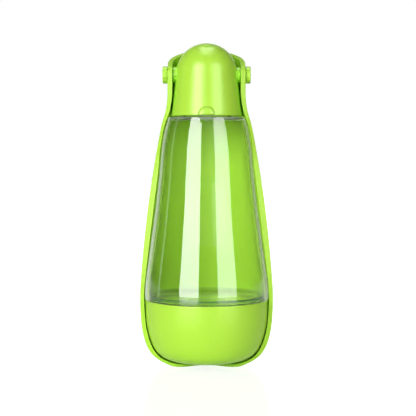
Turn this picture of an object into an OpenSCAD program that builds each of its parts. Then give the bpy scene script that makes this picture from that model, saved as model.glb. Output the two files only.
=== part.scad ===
// Dog travel water bottle: a clear bottle with a dispensing dome cap, a trough that swings up
// on two side pins, and a screw-off base cup. Millimetres. The bottle's axis is Z, the front
// faces -Y, X runs from the left pin to the right pin, and z = 0 is the face it stands on.

/* [Bottle] */
// Largest outside radius of the clear body
body_radius = 39.55; // [36:0.05:44]
// Wall of the clear body
body_wall = 2.4; // [1.5:0.1:4]
// Height of the body's lower rim above the standing face
body_base_z = 43.2; // [38:0.1:50]
// Height of the shoulder's flat top
shoulder_z = 158.5; // [140:0.5:180]
// Outside radius of the neck
neck_radius = 16.9; // [14:0.1:19]
// Wall of the neck
neck_wall = 3.3; // [2:0.1:4]
// Height of the neck above the shoulder
neck_height = 15.0; // [12:0.5:20]
// Top face of the water chamber's floor, above the body's lower rim
floor_rise = 2.8; // [2:0.1:6]
// Thickness of the floor
floor_thickness = 2.4; // [1.5:0.1:4]
// Depth of the floor's skirt, which reaches down into the base cup
skirt_depth = 10.2; // [8:0.1:14]
// Thickness of the floor's skirt
skirt_wall = 2.2; // [1.5:0.1:3]
// How far the shoulder's alignment mark stands out beyond the shoulder
lug_reach = 0.8; // [0.4:0.1:1.5]
// Radius of the shoulder's alignment mark
lug_radius = 3.6; // [2:0.1:5]

/* [Neck stopper] */
// Thickness of the stopper's flange
flange_thickness = 1.4; // [1:0.1:2]
// Thickness of the gasket under the flange
gasket_thickness = 0.6; // [0.4:0.1:1.2]
// Depth of the stopper's tube below the neck's top
stopper_depth = 7; // [5:0.5:10]
// Wall of the stopper's tube
stopper_wall = 1.6; // [1:0.1:2.5]
// Radius of the hole that the valve closes
port_radius = 3.0; // [2:0.1:3.2]

/* [Cap] */
// Height of the hinge axis above the neck's top
hinge_rise = 12.1; // [10:0.1:16]
// Height of the dome's centre above the hinge axis
dome_rise = 0.5; // [0:0.1:1]
// How much wider the cap's lower rim is than its dome
cap_flare = 3.2; // [2:0.1:5]
// Wall of the liner around the neck's thread
liner_wall = 2.2; // [1.8:0.1:4]
// Height of the liner's top above the neck's top
liner_headroom = 4.6; // [4:0.1:6]
// Thickness of the liner's top plate
liner_plate = 2.0; // [1.5:0.1:3]
// Radius of each of the six ports in the liner's plate
liner_port_radius = 3.0; // [1.5:0.1:3.5]
// Radius of the post under the liner's plate, which carries the valve's plug
post_radius = 2.0; // [1.5:0.1:3]
// Thickness of the seal on the liner's top
seal_thickness = 0.7; // [0.4:0.1:1.2]
// Gap between the cap's rim and the shoulder when it is screwed down
cap_rim_gap = 1.1; // [0.5:0.1:3]
// Wall of the cap's shell
cap_wall = 2.0; // [1.2:0.1:3]
// Radius of the half-round mark on the front of the cap's rim
nub_radius = 4.75; // [3:0.05:6]
// Diameter of the spout hole
spout_diameter = 4.2; // [2:0.1:8]
// Lean of the spout hole from the vertical, towards the front
spout_lean = 28; // [0:1:45]

/* [Thread] */
// Rise of the cap in one whole turn
thread_lead = 6.0; // [4:0.5:9]
// Number of thread starts
thread_starts = 2; // [1:1:3]
// Height of a thread ridge off its wall
thread_height = 1.2; // [0.6:0.1:1.6]
// Width of a thread ridge at its root
ridge_width = 1.5; // [1:0.1:1.8]
// Height of the thread's start above the shoulder
thread_start = 2.6; // [2:0.1:4]

/* [Trough] */
// Thickness of an arm at the hinge
arm_wall = 3.0; // [2:0.1:4]
// Thickness of the trough's wall where it is widest
trough_wall = 1.9; // [1.5:0.1:3]
// Gap between the clear body and the trough where both are widest
trough_gap = 0.75; // [0.5:0.05:1.5]
// Height of the trough's upper end above the hinge axis, over the bottle's axis
end_height = 7.0; // [6:0.1:10]
// Radius of the upper end's front corner, seen from the side
corner_radius = 5; // [3:0.5:8]
// How far the trough's rim stands in front of the bottle's axis
rim_forward = 8; // [4:0.5:12]
// How far the trough's round back is set behind the bottle's axis
back_offset = 2; // [0:0.5:5]
// Slope of the trough's upper end, which rises towards the back
top_slope = 22; // [10:1:26]
// Depth of the thumb notch in the lower end, measured back from the rim
notch_depth = 6.5; // [0:0.5:7]
// Half-width of the thumb notch at the rim
notch_half_width = 13; // [6:0.5:15]

/* [Hinge] */
// Radius of the round bosses on the cap's sides
boss_radius = 5.0; // [4:0.1:6.5]
// How far a boss stands out beyond the dome
boss_height = 1.5; // [1:0.1:3]
// Thickness of the washer between a boss and an arm
washer_thickness = 0.5; // [0.3:0.1:1]
// Radius of the pin's shank where the arm turns on it
pin_radius = 3.0; // [2:0.1:4]
// Radius of the pin's end that is pressed into the cap's boss
pin_root_radius = 2.6; // [2:0.1:3.5]
// Radius of the knob on the pin's outer end
knob_radius = 5.45; // [4.5:0.05:8]
// Thickness of the knob
knob_thickness = 3.1; // [2:0.1:5]
// Radius of the knob's outer edge
knob_edge = 0.5; // [0.2:0.1:1]
// Thickness of the pin's head, which the knob covers
head_thickness = 1.1; // [0.8:0.1:1.8]

/* [Base cup] */
// Wall of the cup
cup_wall = 2.1; // [1.5:0.1:3]
// Height of the cup's flat bottom above the standing face
cup_bottom_z = 3.2; // [2.8:0.05:5]
// Number of bayonet lugs
lug_count = 3; // [2:1:4]
// Angle that one bayonet lug spans
lug_angle = 40; // [20:1:50]
// Height of a bayonet lug
lug_height = 1.6; // [1:0.1:2.5]
// Gap between the floor's skirt and the cup's wall, which the lugs and the seal bridge
skirt_gap = 1.7; // [1.2:0.1:2.5]

/* [Clearances] */
// Radial running clearance of the arm on its pin
pin_clearance = 0.05; // [0.02:0.01:0.1]
// Radial clearance of the thread ridges and bayonet lugs
loose_clearance = 0.4; // [0.3:0.05:0.6]
// Gap that lets one moving face pass another
face_clearance = 0.3; // [0.2:0.05:0.6]
// Radial clearance of a sealing ring against the wall that slides on it
seal_clearance = 0.06; // [0.03:0.01:0.1]
// Gap between two pieces that are fitted into each other and don't move
fit_clearance = 0.05; // [0.02:0.01:0.1]
// Side play of an arm between its washer and its knob
side_play = 0.1; // [0.05:0.05:0.3]

/* [Hidden] */
$fn = 96;
eps = 0.01;
big = 300;
// How far a cutting shape runs past the face that it cuts.
over = 1;
// How far a lug, a ledge or a thread ridge is sunk into the wall that carries it.
sink = 0.5;
root_sink = 0.3;

neck_bore = neck_radius - neck_wall;
neck_top_z = shoulder_z + neck_height;
hinge_z = neck_top_z + hinge_rise;
dome_z = hinge_z + dome_rise;
cap_rim_z = shoulder_z + cap_rim_gap;
floor_top_z = body_base_z + floor_rise;
floor_low_z = floor_top_z - floor_thickness;
skirt_low_z = floor_low_z - skirt_depth;
body_bore = body_radius - body_wall;
floor_radius = body_bore - fit_clearance;

// From the neck outwards: thread, liner, cap shell, dome, bosses, arms.
thread_bore = neck_radius + thread_height + loose_clearance;
liner_radius = thread_bore + liner_wall;
cap_rim_radius = liner_radius + cap_wall;
dome_radius = cap_rim_radius - cap_flare;
boss_face_x = dome_radius + boss_height;
arm_inner_x = boss_face_x + washer_thickness + side_play;
arm_half_width = arm_inner_x + arm_wall;
knob_x = arm_half_width + 2 * side_play;
head_radius = pin_radius + head_thickness;
washer_margin = 0.2;

// How far the bosses, the pins' sockets and the pins reach in from the dome's inside.
boss_depth = 3.8;
socket_depth = 2.4;
pin_depth = 2.2;

// From the clear body outwards.
trough_inner_max = body_radius + trough_gap;
trough_outer_max = trough_inner_max + trough_wall;

// Clear body, outside: [share of the height from lower rim to shoulder, share of body_radius].
body_shape = [
    [0, 0.996], [0.04, 1], [0.11, 0.986], [0.207, 0.944], [0.373, 0.877], [0.539, 0.812],
    [0.705, 0.761], [0.815, 0.732], [0.87, 0.711], [0.926, 0.679], [0.96, 0.652],
    [0.985, 0.625], [1, 0.604]
];
shoulder_radius = body_shape[len(body_shape) - 1][1] * body_radius;
cup_radius = body_shape[0][1] * body_radius;
cup_inner_radius = cup_radius - cup_wall;
skirt_radius = cup_inner_radius - skirt_gap;

// The neck's groove: depth, half its width, and its distance below the neck's top.
ring_groove = 1.05;
ring_half_width = 0.8;
ring_depth = 2;

// The skirt's groove: depth, half its width and height.
seal_groove = 0.35;
seal_half_width = 1;
seal_z = floor_low_z - skirt_depth / 3;

// The chamber's corner under the shoulder: how far it runs down, and how far its top draws in.
corner_drop = 1.5;
corner_draw = 0.9;
// How far the shoulder's mark rises above the shoulder.
lug_rise = 1;
lug_low_z = skirt_low_z + 0.6;

// Trough beside the base cup: [share of body_base_z, share of the greatest half-width].
trough_outer_foot = [
    [0, 0.474], [0.021, 0.545], [0.081, 0.68], [0.139, 0.768], [0.199, 0.832], [0.345, 0.915],
    [0.579, 0.973], [0.815, 0.994], [0.98, 1]
];
trough_inner_foot = [
    [0.044, 0.422], [0.058, 0.546], [0.11, 0.69], [0.195, 0.804], [0.347, 0.896],
    [0.579, 0.965], [0.833, 0.991], [0.995, 1]
];

// Trough beside the clear body: [share of the height from lower rim to shoulder, share of the
// greatest half-width].
trough_outer_side = [
    [0.061, 0.996], [0.236, 0.959], [0.41, 0.91], [0.586, 0.85], [0.761, 0.773],
    [0.848, 0.731], [0.935, 0.687], [0.979, 0.658]
];
trough_inner_side = [
    [0.059, 0.998], [0.207, 0.95], [0.373, 0.893], [0.539, 0.834], [0.705, 0.774],
    [0.805, 0.746], [0.892, 0.706], [0.948, 0.666], [0.991, 0.627]
];

// Trough beside the cap: [share of the neck's height, share of cap_flare by which the arm is
// wider here than at the hinge].
trough_outer_arm = [[0.26, 0.38], [0.52, 0.18], [0.77, 0.06], [1, 0]];
trough_inner_arm = [[0.07, 0.79], [0.26, 0.54], [0.52, 0.27], [0.77, 0.1], [1, 0]];

// Base cup, outside: [share of its height, share of cup_radius].
cup_shape = [
    [0, 0.355], [0.006, 0.457], [0.02, 0.558], [0.055, 0.66], [0.11, 0.749], [0.192, 0.825],
    [0.307, 0.888], [0.452, 0.939], [0.61, 0.975], [0.752, 0.992], [1, 1]
];

// Cap shell, outside: [share of the height from rim to dome's centre, share of cap_flare lost].
cap_shape = [
    [0, 0.07], [0.01, 0], [0.07, 0.118], [0.24, 0.294], [0.425, 0.476], [0.61, 0.647],
    [0.772, 0.809], [0.884, 0.947], [1, 1]
];

green = [0.68, 0.9, 0.2];

// Catmull-Rom curve through a list of points, with n steps between neighbours.
function blend(a, b, c, d, t) =
    0.5 * (2 * b + (c - a) * t + (2 * a - 5 * b + 4 * c - d) * t * t
    + (3 * b - a - 3 * c + d) * t * t * t);
function smooth(p, n) = concat(
    [for (i = [0 : len(p) - 2], k = [0 : n - 1])
        blend(p[max(i - 1, 0)], p[i], p[i + 1], p[min(i + 2, len(p) - 1)], k / n)],
    [p[len(p) - 1]]);
// Swaps [height, radius] into the [radius, height] that rotate_extrude takes.
function swapped(p) = [for (q = p) [q[1], q[0]]];
// Reads a [height, radius] table at height z, between its points in a straight line.
function at_height(p, z, i = 0) =
    (i >= len(p) - 2 || z <= p[i + 1][0])
    ? p[i][1] + (p[i + 1][1] - p[i][1]) * (z - p[i][0]) / (p[i + 1][0] - p[i][0])
    : at_height(p, z, i + 1);

function side_point(q, widest) = [body_base_z + q[0] * (shoulder_z - body_base_z), q[1] * widest];
function arm_point(q, narrowest) = [shoulder_z + q[0] * neck_height, narrowest + q[1] * cap_flare];

body_curve = [for (q = smooth(body_shape, 3))
    [body_base_z + q[0] * (shoulder_z - body_base_z), q[1] * body_radius]];
trough_outer_curve = smooth(concat(
    [for (q = trough_outer_foot) [q[0] * body_base_z, q[1] * trough_outer_max]],
    [for (q = trough_outer_side) side_point(q, trough_outer_max)],
    [for (q = trough_outer_arm) arm_point(q, arm_half_width)]), 3);
trough_inner_curve = smooth(concat(
    [for (q = trough_inner_foot) [q[0] * body_base_z, q[1] * trough_inner_max]],
    [for (q = trough_inner_side) side_point(q, trough_inner_max)],
    [for (q = trough_inner_arm) arm_point(q, arm_inner_x)]), 3);
cup_top_z = body_base_z - face_clearance;
cup_curve = [for (q = smooth(cup_shape, 3))
    [cup_bottom_z + q[0] * (cup_top_z - cup_bottom_z), q[1] * cup_radius]];
cap_curve = [for (q = cap_shape)
    [cap_rim_z + q[0] * (dome_z - cap_rim_z), cap_rim_radius - q[1] * cap_flare]];

liner_bore = neck_radius + 0.35;
liner_low_z = cap_rim_z + 0.7;
liner_top_z = neck_top_z + liner_headroom;
seat_step_z = liner_top_z + seal_thickness;
// Where the liner's bore narrows above its thread.
bore_step_z = neck_top_z - 4.4;
port_count = 6;
cap_seat_radius = at_height(cap_curve, seat_step_z) - cap_wall;
chamber_radius = dome_radius - cap_wall - 0.2;

// The mark on the cap's rim: lower edge, how far it stands out and reaches in, and how deep
// the centre of the ball lies that rounds it.
nub_low_z = cap_rim_z + 0.7;
nub_reach = 0.9;
nub_depth = 1.5;
nub_ball_depth = 3.2;

flange_radius = neck_radius - 1;
stopper_floor = 2;
// Top of the ring around the stopper's hole, and lower end of the liner's post.
seat_z = neck_top_z - 4.2;
post_low_z = neck_top_z - 3;
// The plug: wall around the post, length of its grip on it, and length of its nose.
plug_wall = 1.8;
plug_grip = 2.6;
plug_nose = 1.1;

// The base cup: end of its straight bore, ledge height, and angles of a stop and of its gap.
straight_z = skirt_low_z - 0.9;
ledge_height = 1.5;
stop_angle = 4;
stop_gap_angle = 0.5;

// A ring of rectangular section.
module ring(r_in, r_out, z0, z1) {
    translate([0, 0, z0])
        difference() {
            cylinder(r = r_out, h = z1 - z0);
            translate([0, 0, -over]) cylinder(r = r_in, h = z1 - z0 + 2 * over);
        }
}

// A ring of round section.
module o_ring(centre_r, section_r, z) {
    translate([0, 0, z])
        rotate_extrude() translate([centre_r, 0]) circle(r = section_r, $fn = 32);
}

// A part of a rectangular ring that spans an angle centred on +X.
module ring_segment(r_in, r_out, z0, z1, angle) {
    rotate([0, 0, -angle / 2])
        translate([0, 0, z0])
            rotate_extrude(angle = angle)
                translate([r_in, 0]) square([r_out - r_in, z1 - z0]);
}

// One helical thread ridge from radius r_root to r_tip, starting at angle a0 and height z0.
module thread_ridge(r_root, r_tip, z0, a0, turns, w_root, w_tip) {
    steps = round(44 * turns);
    pts = [for (i = [0 : steps])
        let (a = a0 + 360 * turns * i / steps, z = z0 + thread_lead * turns * i / steps,
             fade = min(1, min(i, steps - i) / 3), tip = r_root + (r_tip - r_root) * max(fade, 0.3))
        each [
            [r_root * cos(a), r_root * sin(a), z - w_root / 2],
            [tip * cos(a), tip * sin(a), z - w_tip / 2],
            [tip * cos(a), tip * sin(a), z + w_tip / 2],
            [r_root * cos(a), r_root * sin(a), z + w_root / 2]
        ]];
    outward = r_tip > r_root;
    side = [for (i = [0 : steps - 1], k = [0 : 3])
        let (a = 4 * i + k, b = 4 * i + (k + 1) % 4)
        each [[a, b, b + 4], [a, b + 4, a + 4]]];
    last = 4 * steps;
    ends = [[0, 2, 1], [0, 3, 2], [last, last + 1, last + 2], [last, last + 2, last + 3]];
    faces = [for (f = concat(side, ends)) outward ? f : [f[2], f[1], f[0]]];
    polyhedron(points = pts, faces = faces, convexity = 6);
}

module thread(r_root, r_tip, z0, a0 = 0) {
    for (s = [0 : thread_starts - 1])
        thread_ridge(r_root, r_tip, z0, a0 + 360 * s / thread_starts, 1,
                     ridge_width, 0.6 * ridge_width);
}

// Mirrors a right-hand piece (+X) to the left.
module on_side(side) {
    if (side > 0) children();
    else mirror([1, 0, 0]) children();
}

// ---------------------------------------------------------------- bottle

module bottle_body() {
    outer = concat([[0, body_base_z]], swapped(body_curve), [[0, shoulder_z]]);
    inner_low = body_base_z - over;
    inner = concat(
        [[0, inner_low], [body_bore, inner_low], [body_bore, floor_top_z]],
        [for (q = body_curve)
            if (q[0] > floor_top_z + over && q[0] < shoulder_z - body_wall - corner_drop)
                [q[1] - body_wall, q[0]]],
        [[shoulder_radius - body_wall - corner_draw, shoulder_z - body_wall],
         [0, shoulder_z - body_wall]]);
    groove_z = neck_top_z - ring_depth;
    color([0.85, 0.95, 0.85, 0.35]) {
        difference() {
            union() {
                rotate_extrude() polygon(outer);
                translate([0, 0, shoulder_z - over])
                    cylinder(r = neck_radius, h = neck_height + over);
                thread(neck_radius - root_sink, neck_radius + thread_height,
                       shoulder_z + thread_start);
                shoulder_lug();
            }
            rotate_extrude() polygon(inner);
            translate([0, 0, shoulder_z - 3 * body_wall])
                cylinder(r = neck_bore, h = neck_height + 6 * body_wall);
            ring(neck_radius - ring_groove, neck_radius + over,
                 groove_z - ring_half_width, groove_z + ring_half_width);
        }
    }
}

// Half-round mark on the shoulder that the cap's nub lines up with.
module shoulder_lug() {
    low = shoulder_z - lug_radius + lug_rise;
    intersection() {
        translate([0, 0, low])
            rotate([90, 0, 0]) cylinder(r = lug_radius, h = body_radius, $fn = 48);
        ring(shoulder_radius - body_wall, shoulder_radius + lug_reach, low, shoulder_z + 2 * lug_rise);
    }
}

module bottle_floor() {
    color([0.8, 0.92, 0.8, 0.4]) {
        difference() {
            union() {
                translate([0, 0, floor_low_z]) cylinder(r = floor_radius, h = floor_thickness);
                translate([0, 0, skirt_low_z])
                    cylinder(r = skirt_radius, h = floor_low_z - skirt_low_z + eps);
                for (i = [0 : lug_count - 1])
                    rotate([0, 0, 90 + 360 * i / lug_count])
                        ring_segment(skirt_radius - sink, cup_inner_radius - loose_clearance,
                                     lug_low_z, lug_low_z + lug_height, lug_angle);
            }
            translate([0, 0, skirt_low_z - over])
                cylinder(r = skirt_radius - skirt_wall, h = floor_low_z - skirt_low_z + over);
            ring(skirt_radius - seal_groove, skirt_radius + over,
                 seal_z - seal_half_width, seal_z + seal_half_width);
        }
    }
}

module base_seal() {
    inner = skirt_radius - seal_groove;
    outer = cup_inner_radius - seal_clearance;
    color([0.25, 0.25, 0.27])
        o_ring((inner + outer) / 2, (outer - inner) / 2, seal_z);
}

// Insert in the neck. Its centre hole is the valve's port.
module neck_stopper() {
    tube_low = neck_top_z - stopper_depth;
    flange_z = neck_top_z + gasket_thickness;
    color([0.95, 0.95, 0.95])
        difference() {
            union() {
                difference() {
                    union() {
                        translate([0, 0, flange_z]) cylinder(r = flange_radius, h = flange_thickness);
                        translate([0, 0, tube_low])
                            cylinder(r = neck_bore - fit_clearance, h = flange_z - tube_low + eps);
                    }
                    translate([0, 0, tube_low + stopper_floor])
                        cylinder(r = neck_bore - stopper_wall, h = 2 * stopper_depth);
                }
                translate([0, 0, tube_low + over])
                    cylinder(r = port_radius + stopper_wall, h = seat_z - tube_low - over);
            }
            translate([0, 0, tube_low - over]) cylinder(r = port_radius, h = stopper_depth);
        }
}

module stopper_gasket() {
    color([0.25, 0.25, 0.27])
        ring(neck_bore, flange_radius, neck_top_z, neck_top_z + gasket_thickness);
}

module neck_o_ring() {
    inner = neck_radius - ring_groove + 2 * eps;
    outer = liner_bore - seal_clearance;
    color([0.25, 0.25, 0.27])
        o_ring((inner + outer) / 2, (outer - inner) / 2, neck_top_z - ring_depth);
}

// ---------------------------------------------------------------- cap

// The shell's inside tapers from the liner's foot to a step that the seal and the liner's top
// seat against, and is round above.
module cap_cavity() {
    rotate_extrude() polygon([
        [0, cap_rim_z - over], [liner_radius, cap_rim_z - over], [liner_radius, liner_low_z],
        [cap_seat_radius, seat_step_z], [chamber_radius, seat_step_z],
        [chamber_radius, dome_z], [0, dome_z]
    ]);
    translate([0, 0, dome_z]) sphere(r = chamber_radius);
}

// Inside radius of the shell at a height between the liner's foot and the step.
function shell_bore(z) = liner_radius
    + (cap_seat_radius - liner_radius) * (z - liner_low_z) / (seat_step_z - liner_low_z);

module boss() {
    translate([chamber_radius - boss_depth, 0, hinge_z])
        rotate([0, 90, 0]) cylinder(r = boss_radius, h = boss_face_x - chamber_radius + boss_depth);
}

module cap_shell() {
    color(green)
        difference() {
            union() {
                difference() {
                    union() {
                        rotate_extrude()
                            polygon(concat([[0, cap_rim_z]], swapped(cap_curve), [[0, dome_z]]));
                        intersection() {
                            translate([0, 0, dome_z]) sphere(r = dome_radius);
                            translate([-big / 2, -big / 2, dome_z - sink]) cube([big, big, big]);
                        }
                        cap_nub();
                    }
                    cap_cavity();
                }
                for (s = [0, 1]) mirror([s, 0, 0]) boss();
            }
            for (s = [0, 1])
                mirror([s, 0, 0])
                    translate([chamber_radius - socket_depth, 0, hinge_z])
                        rotate([0, 90, 0]) cylinder(r = pin_root_radius, h = dome_radius);
            translate([0, 0, dome_z])
                rotate([spout_lean, 0, 0]) cylinder(d = spout_diameter, h = 2 * dome_radius, $fn = 48);
        }
}

// Half-round mark on the front of the cap's rim.
module cap_nub() {
    intersection() {
        translate([0, nub_ball_depth - cap_rim_radius, nub_low_z])
            sphere(r = norm([nub_ball_depth, nub_radius]));
        translate([-nub_radius, -cap_rim_radius - nub_reach, nub_low_z])
            cube([2 * nub_radius, nub_reach + nub_depth, 2 * nub_radius]);
    }
}

module cap_liner() {
    ring_mid = (post_radius + liner_bore) / 2;
    color([0.93, 0.95, 0.93])
        difference() {
            union() {
                difference() {
                    rotate_extrude() polygon([
                        [0, liner_low_z], [shell_bore(liner_low_z), liner_low_z],
                        [shell_bore(liner_top_z), liner_top_z], [0, liner_top_z]
                    ]);
                    translate([0, 0, liner_low_z - over])
                        cylinder(r = thread_bore, h = bore_step_z - liner_low_z + over);
                    translate([0, 0, liner_low_z - over])
                        cylinder(r = liner_bore, h = liner_top_z - liner_plate - liner_low_z + over);
                }
                thread(thread_bore + root_sink, neck_radius + loose_clearance,
                       shoulder_z + thread_start + thread_lead / thread_starts / 2);
                translate([0, 0, post_low_z])
                    cylinder(r = post_radius, h = liner_top_z - liner_plate - post_low_z + eps);
            }
            for (i = [0 : port_count - 1])
                rotate([0, 0, 360 * (i + 0.5) / port_count])
                    translate([ring_mid, 0, liner_top_z - 2 * liner_plate])
                        cylinder(r = liner_port_radius, h = 4 * liner_plate, $fn = 48);
        }
}

module liner_seal() {
    color([0.25, 0.25, 0.27])
        ring(chamber_radius - seal_thickness, cap_seat_radius - 2 * fit_clearance,
             liner_top_z, seat_step_z);
}

// Soft tip on the liner's centre post. It closes the stopper's hole.
module valve_plug() {
    color([0.3, 0.3, 0.32])
        difference() {
            union() {
                translate([0, 0, seat_z + fit_clearance])
                    cylinder(r = post_radius + plug_wall,
                             h = post_low_z + plug_grip - seat_z - fit_clearance);
                translate([0, 0, seat_z - plug_nose])
                    cylinder(r1 = 0.73 * port_radius, r2 = 0.88 * port_radius,
                             h = plug_nose + 2 * fit_clearance);
            }
            translate([0, 0, post_low_z]) cylinder(r = post_radius, h = 2 * plug_grip);
        }
}

// ---------------------------------------------------------------- hinge

module hinge_pin() {
    translate([0, 0, hinge_z]) rotate([0, 90, 0]) {
        translate([0, 0, chamber_radius - pin_depth])
            cylinder(r = pin_root_radius, h = boss_face_x - chamber_radius + pin_depth + eps);
        translate([0, 0, boss_face_x])
            cylinder(r = pin_radius, h = knob_x - boss_face_x + eps);
        translate([0, 0, knob_x]) cylinder(r = head_radius, h = head_thickness);
    }
}

module hinge_knob() {
    translate([knob_x, 0, hinge_z]) rotate([0, 90, 0])
        difference() {
            rotate_extrude() polygon([
                [0, 0], [knob_radius, 0],
                for (a = [0 : 22.5 : 90])
                    [knob_radius - knob_edge * (1 - cos(a)), knob_thickness - knob_edge * (1 - sin(a))],
                [0, knob_thickness]
            ]);
            translate([0, 0, -over]) cylinder(r = head_radius, h = head_thickness + over);
        }
}

module hinge_washer() {
    translate([boss_face_x, 0, hinge_z]) rotate([0, 90, 0])
        difference() {
            cylinder(r = boss_radius - washer_margin, h = washer_thickness);
            translate([0, 0, -over]) cylinder(r = pin_radius, h = washer_thickness + 2 * over);
        }
}

module hinge_pin_left() { color([0.75, 0.76, 0.78]) on_side(-1) hinge_pin(); }
module hinge_pin_right() { color([0.75, 0.76, 0.78]) on_side(1) hinge_pin(); }
module hinge_knob_left() { color(green) on_side(-1) hinge_knob(); }
module hinge_knob_right() { color(green) on_side(1) hinge_knob(); }
module hinge_washer_left() { color([0.95, 0.95, 0.92]) on_side(-1) hinge_washer(); }
module hinge_washer_right() { color([0.95, 0.95, 0.92]) on_side(1) hinge_washer(); }

// ---------------------------------------------------------------- trough

// Half-round channel whose half-width follows a table: round behind, straight to the front.
module channel(curve, z_low, z_high, front) {
    half = concat([[0, z_low]], swapped(curve), [[curve[len(curve) - 1][1], z_high], [0, z_high]]);
    whole = concat(
        [for (i = [1 : len(half) - 2]) half[i]],
        [for (i = [len(half) - 2 : -1 : 1]) [-half[i][0], half[i][1]]]);
    translate([0, back_offset, 0]) rotate_extrude(angle = 180) polygon(half);
    translate([0, back_offset, 0])
        rotate([90, 0, 0]) linear_extrude(height = front + back_offset) polygon(whole);
}

// All that lies above the trough's sloping upper end, with the end's front corner rounded.
module above_end() {
    // The end's plane meets the corner's circle, which touches the rim's plane too.
    centre_y = corner_radius - rim_forward;
    centre_z = hinge_z + end_height + centre_y * tan(top_slope) - corner_radius / cos(top_slope);
    translate([0, 0, centre_z]) rotate([90, 0, 90])
        translate([0, 0, -big / 2]) linear_extrude(height = big) difference() {
            polygon([
                [-big, 0], [centre_y - corner_radius - eps, 0],
                for (a = [180 : -6 : 90 + top_slope])
                    [centre_y + corner_radius * cos(a), corner_radius * sin(a)],
                [big, (big - centre_y) * tan(top_slope) + corner_radius / cos(top_slope)],
                [big, 2 * big], [-big, 2 * big]
            ]);
        }
}

module trough() {
    notch_r = (notch_half_width * notch_half_width + notch_depth * notch_depth) / (2 * notch_depth);
    top = hinge_z + 4 * end_height;
    color(green)
        difference() {
            channel(trough_outer_curve, 0, top, rim_forward);
            channel(trough_inner_curve, trough_inner_curve[0][0], top + over, rim_forward + over);
            above_end();
            // Flat seats for the washers on the insides of the arms.
            translate([-arm_inner_x, 0, hinge_z])
                rotate([0, 90, 0]) cylinder(r = boss_radius + face_clearance, h = 2 * arm_inner_x);
            translate([0, -rim_forward - notch_r + notch_depth, -over])
                cylinder(r = notch_r, h = cup_bottom_z + over);
            translate([-big / 2, 0, hinge_z])
                rotate([0, 90, 0]) cylinder(r = pin_radius + pin_clearance, h = big);
        }
}

// ---------------------------------------------------------------- base cup

module base_cup() {
    low = cup_bottom_z + cup_wall;
    top = cup_top_z + over;
    ledge_z = lug_low_z + lug_height + face_clearance;
    ledge_in = skirt_radius + loose_clearance;
    outer = concat([[0, cup_bottom_z]], swapped(cup_curve), [[0, cup_top_z]]);
    // The wall is a little thicker where the cup is round.
    inner = concat(
        [[0, low], [0.457 * cup_radius, low], [0.609 * cup_radius, low + 0.57 * cup_wall]],
        [for (q = cup_curve)
            if (q[0] > low + cup_wall && q[0] < straight_z - cup_wall - loose_clearance)
                [q[1] - 1.15 * cup_wall, q[0] + face_clearance]],
        [[cup_inner_radius, straight_z], [cup_inner_radius, top], [0, top]]);
    color(green) {
        difference() {
            rotate_extrude() polygon(outer);
            rotate_extrude() polygon(inner);
        }
        for (i = [0 : lug_count - 1])
            rotate([0, 0, 90 + 360 * i / lug_count]) {
                ring_segment(ledge_in, cup_inner_radius + sink,
                             ledge_z, ledge_z + ledge_height, lug_angle);
                rotate([0, 0, (lug_angle + stop_angle) / 2 + stop_gap_angle])
                    ring_segment(ledge_in, cup_inner_radius + sink,
                                 ledge_z - lug_height - loose_clearance,
                                 ledge_z + ledge_height, stop_angle);
            }
    }
}

bottle_body();
bottle_floor();
base_seal();
neck_stopper();
stopper_gasket();
neck_o_ring();
cap_shell();
cap_liner();
liner_seal();
valve_plug();
hinge_pin_left();
hinge_pin_right();
hinge_knob_left();
hinge_knob_right();
hinge_washer_left();
hinge_washer_right();
trough();
base_cup();
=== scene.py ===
"""Dog travel water bottle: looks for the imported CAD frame, and the camera, lights and floor."""
import math

import bmesh
import bpy
from mathutils import Matrix, Vector


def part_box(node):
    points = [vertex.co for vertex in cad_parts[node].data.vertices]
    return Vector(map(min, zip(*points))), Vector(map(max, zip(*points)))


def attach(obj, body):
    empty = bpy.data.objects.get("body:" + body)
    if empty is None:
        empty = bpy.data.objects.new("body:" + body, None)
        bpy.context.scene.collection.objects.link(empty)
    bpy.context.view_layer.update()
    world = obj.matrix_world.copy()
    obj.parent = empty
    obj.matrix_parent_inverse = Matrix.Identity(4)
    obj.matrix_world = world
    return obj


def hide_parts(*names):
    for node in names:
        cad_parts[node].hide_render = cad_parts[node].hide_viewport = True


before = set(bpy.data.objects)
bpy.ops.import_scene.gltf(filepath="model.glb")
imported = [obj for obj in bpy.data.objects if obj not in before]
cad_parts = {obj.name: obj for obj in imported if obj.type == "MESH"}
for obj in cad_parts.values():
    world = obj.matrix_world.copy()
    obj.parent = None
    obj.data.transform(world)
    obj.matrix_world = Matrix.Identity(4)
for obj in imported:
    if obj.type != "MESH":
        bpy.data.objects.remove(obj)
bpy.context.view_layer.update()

MM = 0.001

# ---------------------------------------------------------------- sizes, from the frame

body_low, body_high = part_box("bottle_body")
cup_low, cup_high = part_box("base_cup")
cap_low, cap_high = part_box("cap_shell")
liner_low, liner_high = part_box("cap_liner")
trough_low, trough_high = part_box("trough")
knob_low, knob_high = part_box("hinge_knob_right")
floor_low, floor_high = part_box("bottle_floor")
washer_low, washer_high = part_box("hinge_washer_right")

# Walls, bores, corners and angles don't show in the frame's boxes, and are the CAD's own values,
# apart from the shoulder's thinner wall, the nub's fuller radius and the height of the dark band
# painted as shade round the floor's edge.
BODY_RADIUS = body_high.x
BODY_WALL = 2.4 * MM
SHOULDER_WALL = 1.3 * MM
BASE_Z = body_low.z
NECK_TOP_Z = body_high.z
NECK_HEIGHT = 15 * MM
SHOULDER_Z = NECK_TOP_Z - NECK_HEIGHT
NECK_RADIUS = 16.9 * MM
NECK_BORE = 13.6 * MM
# Share of the body's radius that its curve keeps to, so that it stays inside the CAD body.
WIDEST_SHARE = 0.999

HINGE_Z = (knob_low.z + knob_high.z) / 2
KNOB_RADIUS = (knob_high.z - knob_low.z) / 2
KNOB_X = knob_low.x
KNOB_THICKNESS = knob_high.x - knob_low.x

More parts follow.
